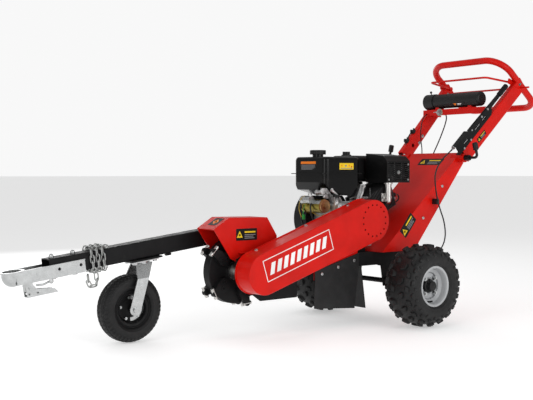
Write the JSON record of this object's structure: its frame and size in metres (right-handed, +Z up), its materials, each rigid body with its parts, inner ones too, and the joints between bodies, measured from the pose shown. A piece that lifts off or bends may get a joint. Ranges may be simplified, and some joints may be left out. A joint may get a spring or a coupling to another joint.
{
  "type": "towable stump grinder",
  "caption": "Walk-behind engine-driven stump grinder with a toothed cutter, belt drive, tow bar with ball coupler, swivel caster and tilting hoop handle.",
  "frame": {"origin": "on the ground, under the middle of the machine's outer box", "axes": "+X to the rear, where the handle is; +Y away from the belt cover; +Z up"},
  "size_m": [2.9939, 0.9024, 1.378],
  "materials": {
    "red_paint": "glossy powder coat, worn at the edges",
    "black_paint": "satin",
    "tank_black": "gloss",
    "zinc": "zinc plated",
    "bare_steel": "machined, worn",
    "galvanised": "galvanised",
    "rim_silver": "silver paint",
    "tyre_rubber": "matte",
    "flap_rubber": "matte sheet",
    "black_plastic": "satin",
    "belt_rubber": "matte",
    "cast_aluminium": "cast",
    "black_aluminium": "cast, painted",
    "starter_plate": "yellow passivated",
    "cast_iron": "cast",
    "cable_sheath": "satin"
  },
  "bodies": {
    "frame": {"frame_rails": "black_paint", "engine_deck": "black_paint", "rotor_housing": "black_paint", "tow_bar": "black_paint", "coupler_body": "zinc", "safety_chains": "galvanised", "caster_mount": "zinc", "rear_axle": "bare_steel", "brake_backplate": "zinc", "belt_backplate": "red_paint", "belt_cover": "red_paint", "cover_screws": "zinc", "drive_belts": "belt_rubber", "rotor_bearings": "cast_iron", "cutter_guard": "red_paint", "flap_side": "flap_rubber", "flap_rear": "flap_rubber", "frame_bolts": "zinc", "crankcase": "cast_aluminium", "cylinder_block": "black_aluminium", "fuel_tank": "tank_black", "air_cleaner": "black_plastic", "muffler": "black_paint", "exhaust_pipe": "bare_steel", "recoil_housing": "black_paint", "starter_motor": "starter_plate", "handle_base": "red_paint", "brake_cable": "cable_sheath"},
    "coupler_latch": {"coupler_latch": "zinc"},
    "caster_swivel": {"caster_fork": "zinc"},
    "caster_wheel": {"caster_rim": "black_paint", "caster_tyre": "tyre_rubber"},
    "cutter_rotor": {"rotor_shaft": "bare_steel", "cutter_disc": "black_paint", "tooth_pockets": "black_paint", "cutter_teeth": "bare_steel", "lower_pulley": "cast_iron"},
    "engine_crank": {"upper_pulley": "cast_iron"},
    "fuel_cap": {"fuel_cap": "black_plastic"},
    "recoil_grip": {"recoil_grip": "black_plastic"},
    "wheel_left": {"tyre_left": "tyre_rubber", "rim_left": "rim_silver", "hub_left": "zinc", "hub_cap_left": "black_plastic"},
    "wheel_right": {"tyre_right": "tyre_rubber", "rim_right": "rim_silver", "hub_right": "zinc", "hub_cap_right": "black_plastic"},
    "handle": {"handle_arms": "red_paint", "handle_loop": "red_paint", "cross_tray": "red_paint", "document_tube": "black_plastic", "brake_bracket": "black_paint"},
    "bail": {"bail": "red_paint"},
    "tube_cap": {"tube_cap": "black_plastic"},
    "brake_lever": {"brake_lever": "black_paint"},
    "throttle_lever": {"throttle_lever": "black_paint"},
    "clamp_left": {"clamp_knob_left": "black_plastic"},
    "clamp_right": {"clamp_knob_right": "black_plastic"},
    "ignition_key": {"ignition_key": "zinc"}
  },
  "joints": [
    {"name": "coupler_latch_pivot", "type": "hinge", "parent": "frame", "child": "coupler_latch", "pos_m": [-1.37691, 0.1625, 0.27634], "axis": [0, 1, 0], "range_deg": [0, 70]},
    {"name": "caster_swivel", "type": "hinge", "parent": "frame", "child": "caster_swivel", "pos_m": [-0.85, 0.1625, 0.4092], "axis": [-0.1194, 0, 0.9928], "continuous": true},
    {"name": "caster_wheel_spin", "type": "hinge", "parent": "caster_swivel", "child": "caster_wheel", "pos_m": [-0.89752, 0.17317, 0.15209], "axis": [0.1347, 0.9907, 0.0162], "continuous": true},
    {"name": "cutter_spin", "type": "hinge", "parent": "frame", "child": "cutter_rotor", "pos_m": [-0.448, 0, 0.303], "axis": [0, 1, 0], "continuous": true},
    {"name": "crank_spin", "type": "hinge", "parent": "frame", "child": "engine_crank", "pos_m": [0.222, 0, 0.517], "axis": [0, 1, 0], "continuous": true},
    {"name": "fuel_cap_turn", "type": "hinge", "parent": "frame", "child": "fuel_cap", "pos_m": [0.138, 0.085, 0.849], "axis": [0, 0, 1], "range_deg": [0, 90]},
    {"name": "recoil_pull", "type": "slide", "parent": "frame", "child": "recoil_grip", "axis": [0.5809, 0.6757, 0.4538], "range_m": [0, 0.5], "stiffness_N_per_m": 12, "springref_m": -0.25},
    {"name": "wheel_left_spin", "type": "hinge", "parent": "frame", "child": "wheel_left", "pos_m": [0.428, -0.353, 0.203], "axis": [0, 1, 0], "continuous": true},
    {"name": "wheel_right_spin", "type": "hinge", "parent": "frame", "child": "wheel_right", "pos_m": [0.428, 0.353, 0.203], "axis": [0, 1, 0], "continuous": true},
    {"name": "handle_tilt", "type": "hinge", "parent": "frame", "child": "handle", "pos_m": [0.89, 0, 0.826], "axis": [0, 1, 0], "range_deg": [-25, 20], "deforming": ["brake_cable"]},
    {"name": "bail_squeeze", "type": "hinge", "parent": "handle", "child": "bail", "pos_m": [1.318, 0, 1.24], "axis": [0, 1, 0], "range_deg": [0, 20], "stiffness_Nm_per_rad": 2, "springref_deg": -34.38},
    {"name": "tube_cap_pull", "type": "slide", "parent": "handle", "child": "tube_cap", "axis": [0, 1, 0], "range_m": [0, 0.07]},
    {"name": "brake_lever_pull", "type": "hinge", "parent": "handle", "child": "brake_lever", "pos_m": [0.93024, -0.22257, 0.97162], "axis": [-0.0429, -0.9983, -0.0401], "range_deg": [0, 35]},
    {"name": "throttle_turn", "type": "hinge", "parent": "handle", "child": "throttle_lever", "pos_m": [1.1813, 0.24741, 1.17175], "axis": [-0.0429, 0.9983, -0.0401], "range_deg": [-30, 30]},
    {"name": "clamp_left_turn", "type": "hinge", "parent": "frame", "child": "clamp_left", "pos_m": [0.89, -0.25, 0.826], "axis": [0, 1, 0], "range_deg": [-90, 90]},
    {"name": "clamp_right_turn", "type": "hinge", "parent": "frame", "child": "clamp_right", "pos_m": [0.89, 0.25, 0.826], "axis": [0, 1, 0], "range_deg": [-90, 90]},
    {"name": "ignition_key_turn", "type": "hinge", "parent": "handle", "child": "ignition_key", "pos_m": [1.068, 0.095, 1.086], "axis": [1, 0, 0], "range_deg": [0, 60]}
  ],
  "couplings": [
    {"joint": "crank_spin", "follows": "cutter_spin", "ratio": 0.9375}
  ]
}
